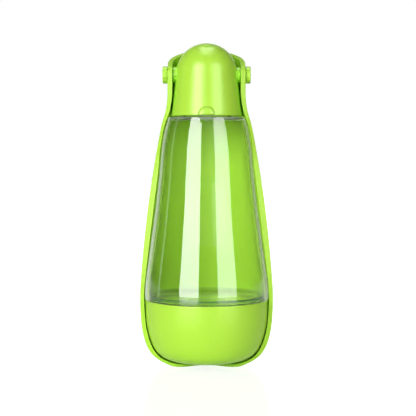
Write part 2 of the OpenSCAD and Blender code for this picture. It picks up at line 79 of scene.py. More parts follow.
CAP_RIM_Z = cap_low.z
CAP_RIM_RADIUS = cap_high.x
CAP_WALL = 2.0 * MM
CAP_FLARE = 3.2 * MM
DOME_RADIUS = CAP_RIM_RADIUS - CAP_FLARE
DOME_Z = cap_high.z - DOME_RADIUS
BOSS_RADIUS = 5.0 * MM
BOSS_FACE_X = washer_low.x
SPOUT_RADIUS = 2.1 * MM
SPOUT_LEAN = math.radians(28)
NUB_RADIUS = 4.75 * MM

ARM_INNER_X = washer_high.x + 0.1 * MM
ARM_OUTER_X = KNOB_X - 0.2 * MM
TROUGH_WIDEST = trough_high.x
TROUGH_WALL = 1.9 * MM
RIM_Y = trough_low.y
BACK_OFFSET = trough_high.y - TROUGH_WIDEST
TOP_SLOPE = math.radians(22)
END_HEIGHT = 7.0 * MM
CORNER_RADIUS = 5.0 * MM
NOTCH_DEPTH = 6.5 * MM
NOTCH_HALF_WIDTH = 13 * MM
PIN_BORE = 3.05 * MM

CUP_RADIUS = cup_high.x
CUP_BOTTOM_Z = cup_low.z
CUP_TOP_Z = cup_high.z
CUP_WALL = 2.1 * MM

SKIRT_LOW_Z = floor_low.z
FLOOR_TOP_Z = floor_high.z
FLOOR_THICKNESS = 2.4 * MM
FLOOR_RADIUS = floor_high.x
SKIRT_WALL = 2.2 * MM
SKIRT_GAP = 1.7 * MM
# Height of the dark band that is painted as shade round the clear floor's edge.
EDGE_SHADE_HEIGHT = 1.1 * MM
LUG_COUNT = 3
LUG_ANGLE = math.radians(40)
LUG_MIDDLES = [math.radians(90) + 2 * math.pi * i / LUG_COUNT for i in range(LUG_COUNT)]

# Outlines, close to the CAD's: (share of a height, share of a radius or half-width). The cap's
# and the arms' second value is the share of the cap's flare that is lost or left.
BODY_SHAPE = [
    (0, 0.996), (0.04, 1), (0.11, 0.986), (0.207, 0.944), (0.373, 0.877), (0.539, 0.812),
    (0.705, 0.761), (0.815, 0.732), (0.87, 0.711), (0.926, 0.68), (0.96, 0.656),
    (0.985, 0.636), (1, 0.621),
]
TROUGH_OUTER_FOOT = [
    (0, 0.474), (0.021, 0.545), (0.081, 0.68), (0.139, 0.768), (0.199, 0.832), (0.345, 0.915),
    (0.579, 0.973), (0.815, 0.994), (0.98, 1),
]
TROUGH_INNER_FOOT = [
    (0.044, 0.422), (0.058, 0.546), (0.11, 0.69), (0.195, 0.804), (0.347, 0.896),
    (0.579, 0.965), (0.833, 0.991), (0.995, 1),
]
TROUGH_OUTER_SIDE = [
    (0.061, 0.996), (0.236, 0.959), (0.41, 0.91), (0.586, 0.85), (0.761, 0.773),
    (0.848, 0.731), (0.935, 0.687), (0.979, 0.658),
]
TROUGH_INNER_SIDE = [
    (0.059, 0.998), (0.207, 0.95), (0.373, 0.893), (0.539, 0.834), (0.705, 0.774),
    (0.805, 0.746), (0.892, 0.706), (0.948, 0.666), (0.991, 0.627),
]
TROUGH_OUTER_ARM = [(0.26, 0.38), (0.52, 0.18), (0.77, 0.06), (1, 0)]
TROUGH_INNER_ARM = [(0.07, 0.79), (0.26, 0.54), (0.52, 0.27), (0.77, 0.1), (1, 0)]
CUP_SHAPE = [
    (0, 0.355), (0.006, 0.457), (0.02, 0.558), (0.055, 0.67), (0.11, 0.763), (0.192, 0.84),
    (0.307, 0.9), (0.452, 0.947), (0.61, 0.979), (0.752, 0.993), (1, 1),
]
CAP_SHAPE = [
    (0.01, 0), (0.07, 0.118), (0.24, 0.294), (0.425, 0.476), (0.61, 0.647),
    (0.772, 0.809), (0.884, 0.947), (1, 1),
]


# ---------------------------------------------------------------- curves and meshes

SHARP_ANGLE = math.radians(40)
WELD_DISTANCE = 1e-7
ON_AXIS = 1e-6
# Share of a neighbouring edge that a rounded corner may take up.
LONGEST_SHARE = 0.49


def smooth_curve(points, steps):
    """Catmull-Rom curve through 2-D points, with steps points for each stretch."""
    out = []
    last = len(points) - 1
    for i in range(last):
        a, b = points[max(i - 1, 0)], points[i]
        c, d = points[i + 1], points[min(i + 2, last)]
        for k in range(steps):
            t = k / steps
            out.append(tuple(
                0.5 * (2 * b[j] + (c[j] - a[j]) * t
                       + (2 * a[j] - 5 * b[j] + 4 * c[j] - d[j]) * t * t
                       + (3 * b[j] - a[j] - 3 * c[j] + d[j]) * t ** 3)
                for j in (0, 1)))
    out.append(tuple(points[-1]))
    return out


def rounded(points, steps=5):
    """Outline whose points are (r, z) or (r, z, corner radius); the corners are rounded."""
    out = []
    count = len(points)
    for i, p in enumerate(points):
        if len(p) == 2:
            out.append(Vector(p))
            continue
        here = Vector(p[:2])
        before = Vector(points[i - 1][:2]) - here
        after = Vector(points[(i + 1) % count][:2]) - here
        reach = min(p[2], before.length * LONGEST_SHARE, after.length * LONGEST_SHARE)
        start = here + before.normalized() * reach
        end = here + after.normalized() * reach
        for k in range(steps + 1):
            t = k / steps
            out.append(start * (1 - t) ** 2 + here * 2 * t * (1 - t) + end * t * t)
    return [(v.x, v.y) for v in out]


def shade(mesh):
    """Smooth shading, sharp only where the surface turns by more than SHARP_ANGLE."""
    for polygon in mesh.polygons:
        polygon.use_smooth = True
    mesh.set_sharp_from_angle(angle=SHARP_ANGLE)


def new_object(name, bm):
    bmesh.ops.remove_doubles(bm, verts=bm.verts, dist=WELD_DISTANCE)
    bmesh.ops.recalc_face_normals(bm, faces=bm.faces)
    mesh = bpy.data.meshes.new(name)
    bm.to_mesh(mesh)
    bm.free()
    shade(mesh)
    piece = bpy.data.objects.new(name, mesh)
    bpy.context.scene.collection.objects.link(piece)
    return piece


def lathe(name, profile, segments=144, turn=None):
    """Closed solid turned about Z from a closed (r, z) outline, and then moved by a matrix."""
    bm = bmesh.new()
    rings = []
    for r, z in profile:
        if r < ON_AXIS:
            rings.append([bm.verts.new((0, 0, z))])
        else:
            rings.append([
                bm.verts.new((r * math.cos(a), r * math.sin(a), z))
                for a in (2 * math.pi * k / segments for k in range(segments))])
    for i, low in enumerate(rings):
        high = rings[(i + 1) % len(rings)]
        if len(low) == 1 and len(high) == 1:
            continue
        for k in range(segments):
            n = (k + 1) % segments
            if len(low) == 1:
                bm.faces.new((low[0], high[n], high[k]))
            elif len(high) == 1:
                bm.faces.new((low[k], low[n], high[0]))
            else:
                bm.faces.new((low[k], low[n], high[n], high[k]))
    if turn is not None:
        bmesh.ops.transform(bm, matrix=turn, verts=bm.verts)
    return new_object(name, bm)


def rod(name, radius, length, segments, turn):
    outline = [(0, 0), (radius, 0), (radius, length), (0, length)]
    return lathe(name, outline, segments, turn)


def on_hinge_axis(side, x):
    """Lays a turned piece on the hinge's axis: it starts at x and points out on its side."""
    return (Matrix.Translation((side * x, 0, HINGE_Z))
            @ Matrix.Rotation(math.radians(90 * side), 4, "Y"))


def apply_modifiers(piece):
    """Makes the result of a piece's modifiers its mesh."""
    depsgraph = bpy.context.evaluated_depsgraph_get()
    mesh = bpy.data.meshes.new_from_object(piece.evaluated_get(depsgraph))
    piece.modifiers.clear()
    piece.data = mesh
    shade(mesh)


def boolean(piece, operation, *tools):
    """Joins tools to a piece, or cuts them from it, and deletes the tools."""
    for tool in tools:
        modifier = piece.modifiers.new("boolean", "BOOLEAN")
        modifier.operation = operation
        modifier.solver = "EXACT"
        modifier.object = tool
    bpy.context.view_layer.update()
    apply_modifiers(piece)
    for tool in tools:
        bpy.data.objects.remove(tool)
    return piece


def upper_half(piece, low_z):
    """Cuts off what lies below a height, and closes the cut."""
    bm = bmesh.new()
    bm.from_mesh(piece.data)
    cut = bmesh.ops.bisect_plane(
        bm, geom=bm.verts[:] + bm.edges[:] + bm.faces[:],
        plane_co=(0, 0, low_z), plane_no=(0, 0, 1), clear_inner=True)
    edges = [e for e in cut["geom_cut"] if isinstance(e, bmesh.types.BMEdge)]
    bmesh.ops.holes_fill(bm, edges=edges)
    bm.to_mesh(piece.data)
    bm.free()
    return piece


def ring_segment(name, r_in, r_out, z0, z1, middle, angle, steps=16):
    """Part of a ring of rectangular section, about a middle angle."""
    bm = bmesh.new()
    rows = []
    for k in range(steps + 1):
        a = middle - angle / 2 + angle * k / steps
        rows.append([
            bm.verts.new((r * math.cos(a), r * math.sin(a), z))
            for r, z in ((r_in, z0), (r_out, z0), (r_out, z1), (r_in, z1))])
    for a, b in zip(rows, rows[1:]):
        for k in range(4):
            bm.faces.new((a[k], a[(k + 1) % 4], b[(k + 1) % 4], b[k]))
    bm.faces.new(rows[0])
    bm.faces.new(rows[-1])
    return new_object(name, bm)


def finish_piece(piece, material, body, slot, *nodes):
    """Gives a piece its material and body, and hides the CAD nodes that it stands in for. The
    slot is not used.
    """
    piece.data.materials.clear()
    piece.data.materials.append(material)
    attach(piece, body)
    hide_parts(*nodes)
    return piece


# ---------------------------------------------------------------- materials

def node_material(name):
    material = bpy.data.materials.new(name)
    material.use_nodes = True
    nodes = material.node_tree.nodes
    return material, nodes, material.node_tree.links, nodes["Principled BSDF"]


def noise(nodes, links, scale, detail=2):
    """3-D noise in the object's own metres: scale is in cells per metre."""
    place = nodes.new("ShaderNodeTexCoord")
    texture = nodes.new("ShaderNodeTexNoise")
    texture.inputs["Scale"].default_value = scale
    texture.inputs["Detail"].default_value = detail
    texture.inputs["Roughness"].default_value = 0.5
    links.new(place.outputs["Object"], texture.inputs["Vector"])
    return texture.outputs["Fac"]


def mapped(nodes, links, value, from_low, from_high, to_low, to_high):
    """Maps a value from one range onto another, and keeps it inside."""
    node = nodes.new("ShaderNodeMapRange")
    node.inputs["From Min"].default_value = from_low
    node.inputs["From Max"].default_value = from_high
    node.inputs["To Min"].default_value = to_low
    node.inputs["To Max"].default_value = to_high
    links.new(value, node.inputs["Value"])
    return node.outputs["Result"]


def ranged(nodes, links, value, low, high):
    """Maps a noise value of about 0.3 to 0.7 onto low to high."""
    return mapped(nodes, links, value, 0.3, 0.7, low, high)


def higher(nodes, links, a, b):
    """The higher of two values."""
    node = nodes.new("ShaderNodeMath")
    node.operation = "MAXIMUM"
    links.new(a, node.inputs[0])
    links.new(b, node.inputs[1])
    return node.outputs[0]


def mixed_shader(nodes, links, share, a, b):
    mix = nodes.new("ShaderNodeMixShader")
    links.new(share, mix.inputs["Fac"])
    links.new(a, mix.inputs[1])
    links.new(b, mix.inputs[2])
    return mix.outputs["Shader"]


def mixed_colour(nodes, links, value, a, b):
    node = nodes.new("ShaderNodeMix")
    node.data_type = "RGBA"
    node.inputs["A"].default_value = (*a, 1)
    node.inputs["B"].default_value = (*b, 1)
    links.new(value, node.inputs["Factor"])
    return node.outputs["Result"]


def bumped(nodes, links, shader, *layers):
    """Chains bump layers of (height value, distance in metres, strength)."""
    normal = None
    for value, distance, strength in layers:
        bump = nodes.new("ShaderNodeBump")
        bump.inputs["Distance"].default_value = distance
        bump.inputs["Strength"].default_value = strength
        links.new(value, bump.inputs["Height"])
        if normal is not None:
            links.new(normal, bump.inputs["Normal"])
        normal = bump.outputs["Normal"]
    links.new(normal, shader.inputs["Normal"])


def moulded_plastic(name, colour, deeper, roughness, specular=0.3):
    """Glossy injection-moulded plastic: faint flow shading, orange peel and fine scuffs."""
    material, nodes, links, shader = node_material(name)
    flow = noise(nodes, links, 900, detail=3)
    peel = noise(nodes, links, 700)
    grain = noise(nodes, links, 4500)
    scuffs = noise(nodes, links, 1500, detail=4)
    links.new(mixed_colour(nodes, links, ranged(nodes, links, flow, 0, 1), colour, deeper),
              shader.inputs["Base Color"])
    links.new(ranged(nodes, links, scuffs, roughness - 0.02, roughness + 0.03),
              shader.inputs["Roughness"])
    bumped(nodes, links, shader, (peel, 0.03 * MM, 0.2), (grain, 0.01 * MM, 0.25))
    shader.inputs["IOR"].default_value = 1.42
    shader.inputs["Specular IOR Level"].default_value = specular
    return material


def painted_edge_reflection(nodes, links, surface):
    """Mixes a pale diffuse into a surface where it is seen edge on: a painted reflection of the
    bright backdrop that the clear wall carries round inside itself.
    """
    painted_pale = nodes.new("ShaderNodeBsdfDiffuse")
    painted_pale.inputs["Color"].default_value = (0.95, 0.97, 0.93, 1)
    facing = nodes.new("ShaderNodeLayerWeight")
    facing.inputs["Blend"].default_value = 0.5
    share = nodes.new("ShaderNodeValToRGB")
    ramp = share.color_ramp
    for place, value in EDGE_REFLECTION_SHARES:
        stop = ramp.elements.new(place)
        stop.color = (value, value, value, 1)
    ramp.elements.remove(ramp.elements[-1])
    links.new(facing.outputs["Facing"], share.inputs["Fac"])
    return mixed_shader(nodes, links, share.outputs["Color"], surface, painted_pale.outputs["BSDF"])


def clear_plastic(name, outside):
    """Clear plastic, which light on its way to another surface passes without being bent.
    The outside has a painted whitish reflection where it is seen edge on, and the inside reflects
    nothing."""
    material, nodes, links, shader = node_material(name)
    shader.inputs["Base Color"].default_value = (0.975, 0.99, 0.975, 1)
    shader.inputs["Transmission Weight"].default_value = 1.0
    shader.inputs["IOR"].default_value = 1.49
    haze = noise(nodes, links, 500, detail=3)
    links.new(ranged(nodes, links, haze, 0.0, 0.015), shader.inputs["Roughness"])
    bumped(nodes, links, shader, (noise(nodes, links, 60), 0.06 * MM, 0.05))
    surface = shader.outputs["BSDF"]
    if outside:
        # The outside's edges get a painted whitish reflection.
        surface = painted_edge_reflection(nodes, links, surface)
    else:
        shader.inputs["Specular Tint"].default_value = (0, 0, 0, 1)
    through = nodes.new("ShaderNodeBsdfTransparent")
    through.inputs["Color"].default_value = (0.985, 0.995, 0.985, 1)
    path = nodes.new("ShaderNodeLightPath")
    passing = higher(nodes, links, path.outputs["Is Shadow Ray"], path.outputs["Is Diffuse Ray"])
    links.new(mixed_shader(nodes, links, passing, surface, through.outputs["BSDF"]),
              nodes["Material Output"].inputs["Surface"])
    return material


def soft_rubber(name, colour):
    """Matte rubber with darker patches and a fine grain."""
    material, nodes, links, shader = node_material(name)
    patches = ranged(nodes, links, noise(nodes, links, 200, detail=3), 0, 1)
    darker = tuple(0.7 * c for c in colour)
    links.new(mixed_colour(nodes, links, patches, colour, darker), shader.inputs["Base Color"])
    wear = noise(nodes, links, 900, detail=3)
    links.new(ranged(nodes, links, wear, 0.5, 0.7), shader.inputs["Roughness"])
    bumped(nodes, links, shader, (noise(nodes, links, 2500, detail=3), 0.03 * MM, 0.5))
    return material


def turned_steel(name):
    material, nodes, links, shader = node_material(name)
    shader.inputs["Base Color"].default_value = (0.62, 0.62, 0.60, 1)
    shader.inputs["Metallic"].default_value = 1.0
    wear = noise(nodes, links, 1800, detail=4)
    links.new(ranged(nodes, links, wear, 0.25, 0.4), shader.inputs["Roughness"])
    bumped(nodes, links, shader, (noise(nodes, links, 4000), 0.01 * MM, 0.5))
    return material


# How far the painted edge reflection turns the clear plastic pale: (0 face on to 1 edge on, share
# of the pale diffuse).
EDGE_REFLECTION_SHARES = ((0.55, 0.0), (0.62, 0.1), (0.68, 0.3), (0.76, 0.65), (0.86, 0.95))
GREEN = (0.50, 0.88, 0.065)
DEEPER_GREEN = (0.485, 0.87, 0.058)
green = moulded_plastic("green_plastic", GREEN, DEEPER_GREEN, 0.28)
trough_green = moulded_plastic("trough_plastic", GREEN, DEEPER_GREEN, 0.32, specular=0.1)
# Washers: the green plastic darkened, which is painted shade for where they sit in shadow between
# the arms and the cap.
washer_shaded_green = moulded_plastic("washer_plastic_painted_shade", (0.27, 0.60, 0.03), (0.24, 0.55, 0.027), 0.35)
white = moulded_plastic("white_plastic", (0.85, 0.86, 0.84), (0.80, 0.82, 0.80), 0.32)
clear_outside = clear_plastic("clear_plastic", True)
clear_inside = clear_plastic("clear_plastic_inside", False)
# Dark green for a band round the clear floor's edge, which is painted shade for the dark ring
# that the floor's thick edge shows.
floor_edge_shade = moulded_plastic("floor_edge_painted_shade", (0.07, 0.22, 0.025), (0.06, 0.19, 0.02), 0.3)
rubber = soft_rubber("seal_rubber", (0.055, 0.055, 0.06))
steel = turned_steel("pin_steel")


# ---------------------------------------------------------------- clear bottle

def body_outline():
    """(r, z) of the clear body's outside, from its lower rim to the shoulder."""
    height = SHOULDER_Z - BASE_Z
    return [(min(share_r, WIDEST_SHARE) * BODY_RADIUS, BASE_Z + share_z * height)
            for share_z, share_r in smooth_curve(BODY_SHAPE, 10)]


def build_body():
    outline = body_outline()
    shoulder_r, shoulder_z = outline[-1]
    bore = BODY_RADIUS - BODY_WALL
    inner_top = shoulder_z - SHOULDER_WALL
    inner_corner = 0.6 * MM
    floor_clearance = 1 * MM
    inside = [(r - BODY_WALL, z) for r, z in outline
              if FLOOR_TOP_Z + floor_clearance < z < inner_top - inner_corner]
    groove_r = NECK_RADIUS - 1.05 * MM
    groove_z = NECK_TOP_Z - 2 * MM
    groove_low, groove_high = groove_z - 0.8 * MM, groove_z + 0.8 * MM
    neck_fillet = 0.8 * MM
    lip = 0.4 * MM
    profile = rounded(
        [(*outline[0], 0.35 * MM)] + outline[1:-1]
        + [(shoulder_r, shoulder_z, 0.45 * MM), (NECK_RADIUS, SHOULDER_Z, neck_fillet),
           (NECK_RADIUS, groove_low), (groove_r, groove_low),
           (groove_r, groove_high), (NECK_RADIUS, groove_high),
           (NECK_RADIUS, NECK_TOP_Z, lip), (NECK_BORE, NECK_TOP_Z, lip),
           (NECK_BORE, inner_top, inner_corner),
           (shoulder_r - BODY_WALL - 0.1 * MM, inner_top, 0.5 * MM)]
        + inside[::-1] + [(bore, FLOOR_TOP_Z), (bore, BASE_Z, 0.3 * MM)])
    body = lathe("clear_body", profile, 192)
    return boolean(body, "UNION", mark_on_shoulder(shoulder_r, shoulder_z))


def mark_on_shoulder(shoulder_r, shoulder_z):
    """Half-round mark at the front that the cap's nub lines up with."""
    radius = 3.6 * MM
    reach = 0.8 * MM
    rise = 1 * MM
    low_z = shoulder_z - radius + rise
    outline = rounded([(0, -BODY_WALL), (radius, -BODY_WALL),
                       (radius, reach, 0.5 * MM), (0, reach)])
    turn = (Matrix.Translation((0, -shoulder_r, low_z))
            @ Matrix.Rotation(math.radians(90), 4, "X"))
    return upper_half(lathe("mark", outline, 64, turn), low_z)


def use_inside_material(body, material):
    """Gives the faces of the wall's inside, and of the mark, their own material."""
    body.data.materials.append(material)
    shoulder_r = BODY_SHAPE[-1][1] * BODY_RADIUS
    mark_z = SHOULDER_Z - 3.5 * MM
    mark_half_width = 4 * MM
    mark_y = -shoulder_r - 0.1 * MM
    for polygon in body.data.polygons:
        x, y, z = polygon.center
        outward = Vector((x, y, 0))
        inside = polygon.normal.dot(outward) < -0.1 * outward.length
        on_mark = z > mark_z and abs(x) < mark_half_width and y < mark_y
        if inside or on_mark:
            polygon.material_index = 1


def build_floor():
    """Floor of the chamber with the skirt that carries the seal and the bayonet's lugs."""
    low_z = FLOOR_TOP_Z - FLOOR_THICKNESS
    skirt_r = CUP_RADIUS - CUP_WALL - SKIRT_GAP
    inner_r = skirt_r - SKIRT_WALL
    seal_z = low_z - (low_z - SKIRT_LOW_Z) / 3
    seal_low, seal_high = seal_z - 1 * MM, seal_z + 1 * MM
    groove_r = skirt_r - 0.35 * MM
    skirt_edge = 0.4 * MM
    floor_edge = 0.2 * MM
    profile = rounded([
        (0, low_z), (inner_r, low_z, 1.0 * MM), (inner_r, SKIRT_LOW_Z, skirt_edge),
        (skirt_r, SKIRT_LOW_Z, skirt_edge), (skirt_r, seal_low), (groove_r, seal_low),
        (groove_r, seal_high), (skirt_r, seal_high), (skirt_r, low_z, 0.3 * MM),
        (FLOOR_RADIUS, low_z, floor_edge), (FLOOR_RADIUS, FLOOR_TOP_Z - EDGE_SHADE_HEIGHT),
        (FLOOR_RADIUS, FLOOR_TOP_Z, floor_edge), (0, FLOOR_TOP_Z)])
    floor = lathe("clear_floor", profile, 144)
    lug_low, lug_high = SKIRT_LOW_Z + 0.6 * MM, SKIRT_LOW_Z + 2.2 * MM
    lug_in, lug_out = skirt_r - 0.5 * MM, CUP_RADIUS - CUP_WALL - 0.4 * MM
    lugs = [ring_segment("lug", lug_in, lug_out, lug_low, lug_high, middle, LUG_ANGLE)
            for middle in LUG_MIDDLES]
    return boolean(floor, "UNION", *lugs)


def use_floor_edge_shade(floor, material):
    """Gives the edge of the floor its own dark material: painted shade for the dark ring that the
    thick clear floor's edge shows.
    """
    floor.data.materials.append(material)
    edge_r = FLOOR_RADIUS - 0.3 * MM
    for polygon in floor.data.polygons:
        x, y, z = polygon.center
        if math.hypot(x, y) > edge_r and z > FLOOR_TOP_Z - EDGE_SHADE_HEIGHT:
            polygon.material_index = 1


# ---------------------------------------------------------------- base cup

def build_cup():
    height = CUP_TOP_Z - CUP_BOTTOM_Z
    outline = [(share_r * CUP_RADIUS, CUP_BOTTOM_Z + share_z * height)
               for share_z, share_r in smooth_curve(CUP_SHAPE, 8)]
    inner_r = CUP_RADIUS - CUP_WALL
    straight_z = SKIRT_LOW_Z - 0.9 * MM
    # The inside repeats the outside a wall further in, between its flat floor and straight top.
    lowest, highest = CUP_BOTTOM_Z + 2 * CUP_WALL, straight_z - 2.5 * MM
    inside = [(r - 1.15 * CUP_WALL, z + 0.3 * MM) for r, z in outline if lowest < z < highest]
    floor_z = CUP_BOTTOM_Z + CUP_WALL
    profile = rounded(
        [(0, CUP_BOTTOM_Z)] + outline[:-1]
        + [(CUP_RADIUS, CUP_TOP_Z, 0.5 * MM), (inner_r, CUP_TOP_Z, 0.4 * MM),
           (inner_r, straight_z)] + inside[::-1]
        + [(0.609 * CUP_RADIUS, floor_z + 0.57 * CUP_WALL), (0.457 * CUP_RADIUS, floor_z),
           (0, floor_z)])
    cup = lathe("cup_shell", profile, 192)
    return boolean(cup, "UNION", *bayonet_ledges(inner_r + 0.5 * MM))


def bayonet_ledges(outer_r):
    """Ledges that the floor's lugs turn in over, each with a stop at its end."""
    inner_r = CUP_RADIUS - CUP_WALL - SKIRT_GAP + 0.4 * MM
    low_z = SKIRT_LOW_Z + 2.5 * MM
    high_z = low_z + 1.5 * MM
    stop_low = low_z - 2 * MM
    stop_angle = math.radians(4)
    stop_gap = math.radians(0.5)
    ledges = []
    for middle in LUG_MIDDLES:
        stop_middle = middle + LUG_ANGLE / 2 + stop_angle / 2 + stop_gap
        ledges.append(ring_segment("ledge", inner_r, outer_r, low_z, high_z, middle, LUG_ANGLE))
        ledges.append(ring_segment("stop", inner_r, outer_r, stop_low, high_z, stop_middle,
                                   stop_angle, 4))
    return ledges


# ---------------------------------------------------------------- cap

def build_cap():
    height = DOME_Z - CAP_RIM_Z
    skirt = [(CAP_RIM_RADIUS - lost * CAP_FLARE, CAP_RIM_Z + share * height)
             for share, lost in smooth_curve(CAP_SHAPE, 6)]
    chamber_r = DOME_RADIUS - CAP_WALL - 0.2 * MM
    dome = [dome_point(DOME_RADIUS, angle) for angle in range(3, 90, 3)]
    inner_dome = [dome_point(chamber_r, angle) for angle in range(84, -1, -6)]
    step_z = liner_high.z + 0.7 * MM
    step_r = max(r for r, z in skirt if z >= step_z) - CAP_WALL
    liner_r = CAP_RIM_RADIUS - CAP_WALL
    rim_edge = 0.2 * MM
    profile = rounded(
        [(CAP_RIM_RADIUS - rim_edge, CAP_RIM_Z, rim_edge)] + skirt + dome
        + [(0, DOME_Z + DOME_RADIUS), (0, DOME_Z + chamber_r)] + inner_dome
        + [(chamber_r, step_z), (step_r, step_z), (liner_r, liner_low.z),
           (liner_r, CAP_RIM_Z, 0.4 * MM)])
    cap = lathe("cap_dome", profile, 192)
    bosses = [cap_boss(side, chamber_r) for side in (-1, 1)]
    boolean(cap, "UNION", cap_nub(), *bosses)
    sockets = [rod("socket", 2.6 * MM, DOME_RADIUS, 48, on_hinge_axis(side, chamber_r - 2.4 * MM))
               for side in (-1, 1)]
    return boolean(cap, "DIFFERENCE", spout_cutter(), *sockets)


def dome_point(radius, degrees):
    a = math.radians(degrees)
    return radius * math.cos(a), DOME_Z + radius * math.sin(a)


def cap_boss(side, chamber_r):
    """Boss that carries a hinge pin, from inside the dome's wall out to the washer."""
    start = chamber_r - 3.8 * MM
    length = BOSS_FACE_X - start
    outline = rounded([(0, 0), (BOSS_RADIUS, 0), (BOSS_RADIUS, length, 0.3 * MM), (0, length)])
    return lathe("boss", outline, 72, on_hinge_axis(side, start))


def cap_nub():
    """Half-round bump on the front of the cap's rim, rounded like a cushion."""
    low_z = CAP_RIM_Z + 0.5 * MM
    depth = 1.7 * MM
    sunk = 0.65 * MM
    foot_r = 1.05 * NUB_RADIUS
    fullness = 0.7
    lean = math.radians(5)
    outline = [(0, -depth), (foot_r, -depth)]
    for degrees in range(0, 90, 5):
        a = math.radians(degrees)
        outline.append((foot_r * math.cos(a) ** fullness, depth * math.sin(a)))
    outline.append((0, depth))
    turn = (Matrix.Translation((0, -CAP_RIM_RADIUS + sunk, low_z))
            @ Matrix.Rotation(math.radians(90) - lean, 4, "X"))
    return upper_half(lathe("nub", outline, 96, turn), low_z)


def spout_cutter():
    """Bore of the spout, flared where it meets the dome so that its edge is rounded."""
    flare = 0.2 * MM
    flare_r = SPOUT_RADIUS + flare
    edge_z = math.sqrt(DOME_RADIUS ** 2 - flare_r ** 2)
    outline = [(0, 0.5 * DOME_RADIUS), (SPOUT_RADIUS, 0.5 * DOME_RADIUS)]
    for degrees in range(0, 91, 15):
        a = math.radians(degrees)
        outline.append((flare_r - flare * math.cos(a), edge_z - flare * (1 - math.sin(a))))
    outline += [(flare_r, DOME_RADIUS + flare), (0, DOME_RADIUS + flare)]
    turn = Matrix.Translation((0, 0, DOME_Z)) @ Matrix.Rotation(SPOUT_LEAN, 4, "X")
    return lathe("spout", outline, 64, turn)


def build_knob(side):
    """Knob with a pocket for the pin's head, and a slightly dished outer face."""
    pocket_r, pocket = 4.1 * MM, 1.1 * MM
    face_r = KNOB_RADIUS - 1.8 * MM
    profile = rounded([
        (0, pocket), (pocket_r, pocket), (pocket_r, 0), (KNOB_RADIUS, 0, 0.25 * MM),
        (KNOB_RADIUS, KNOB_THICKNESS, 0.7 * MM), (face_r, KNOB_THICKNESS - 0.01 * MM),
        (0, KNOB_THICKNESS - 0.12 * MM)], 6)
    name = "knob_left" if side < 0 else "knob_right"
    return lathe(name, profile, 96, on_hinge_axis(side, KNOB_X))


# ---------------------------------------------------------------- trough

# Distance from an edge to the line of points that keeps it crisp under subdivision.
SUPPORT = 0.35 * MM
RIM_THICKER = 0.7 * MM
RIM_SLANT = 1.2 * MM
# The extra thickness ends at 1 / THICKER_FALL of the way from the rim to the round back. It is
# whole from this share of the widest half-width, and this share of the height under the shoulder.
THICKER_FALL = 2.5
THICKER_FROM_WIDTH = 0.5
THICKER_FROM_HEIGHT = 0.25

ARM_START_Z = SHOULDER_Z - 8 * MM
FLAT_ROWS = 5
FOOT_ROWS = 16
SIDE_ROWS = 22
ARM_ROWS = 8
CORNER_STEPS = 6
STRAIGHT_COLUMNS = 6
ARC_COLUMNS = 36
# Shares of the way up the arm's end, closer together at its top edge.
END_ROWS = [k / 9 for k in range(1, 9)] + [0.975, 1.0]
MERGE_DISTANCE = 1e-6


def trough_curve(foot, side, arm, widest, narrowest):
    """(half-width, z) from the edge of the flat end up to the straight arms."""
    height = SHOULDER_Z - BASE_Z
    points = [(z * BASE_Z, w * widest) for z, w in foot]
    points += [(BASE_Z + z * height, w * widest) for z, w in side]
    points += [(SHOULDER_Z + z * NECK_HEIGHT, narrowest + w * CAP_FLARE) for z, w in arm]
    return [(w, z) for z, w in smooth_curve(points, 8)]


def evenly(points, count):
    """Count + 1 points at even distances along a polyline."""
    lengths = [0.0]
    for a, b in zip(points, points[1:]):
        lengths.append(lengths[-1] + math.dist(a, b))
    out = []
    i = 0
    for k in range(count + 1):
        goal = lengths[-1] * k / count
        while i < len(points) - 2 and lengths[i + 1] < goal:
            i += 1
        span = lengths[i + 1] - lengths[i] or 1.0
        t = (goal - lengths[i]) / span
        out.append(tuple(a + (b - a) * t for a, b in zip(points[i], points[i + 1])))
    return out


def rows_of(curve, flat_z):
    """The trough's rows below its upper end, as (half-width, z)."""
    start_w = curve[0][0]
    flat = [(start_w * k / FLAT_ROWS, flat_z) for k in range(FLAT_ROWS)]
    foot = evenly([p for p in curve if p[1] <= BASE_Z], FOOT_ROWS)
    side = evenly([p for p in curve if BASE_Z <= p[1] <= ARM_START_Z], SIDE_ROWS)
    arm = evenly([p for p in curve if p[1] >= ARM_START_Z], ARM_ROWS)
    return flat + foot + side[1:] + arm[1:]


def end_z(y):
    """Height of the trough's upper end, a plane that rises towards the back."""
    return HINGE_Z + END_HEIGHT + y * math.tan(TOP_SLOPE)


CORNER_Y = RIM_Y + CORNER_RADIUS
CORNER_Z = end_z(CORNER_Y) - CORNER_RADIUS / math.cos(TOP_SLOPE)


def corner_points(angle_from, angle_to):
    """Points along the rounded corner between the rim and the upper end, as (y, z)."""
    points = []
    for k in range(CORNER_STEPS + 1):
        angle = angle_from + (angle_to - angle_from) * k / CORNER_STEPS
        points.append(Vector((CORNER_Y + CORNER_RADIUS * math.cos(angle),
                              CORNER_Z + CORNER_RADIUS * math.sin(angle))))
    return points


def polyline_at(points, share):
    """Point at a share of a polyline's length."""
    lengths = [0.0]
    for a, b in zip(points, points[1:]):
        lengths.append(lengths[-1] + (b - a).length)
    goal = share * lengths[-1]
    i = 0
    while i < len(points) - 2 and lengths[i + 1] < goal:
        i += 1
    span = lengths[i + 1] - lengths[i] or 1.0
    return points[i].lerp(points[i + 1], (goal - lengths[i]) / span)


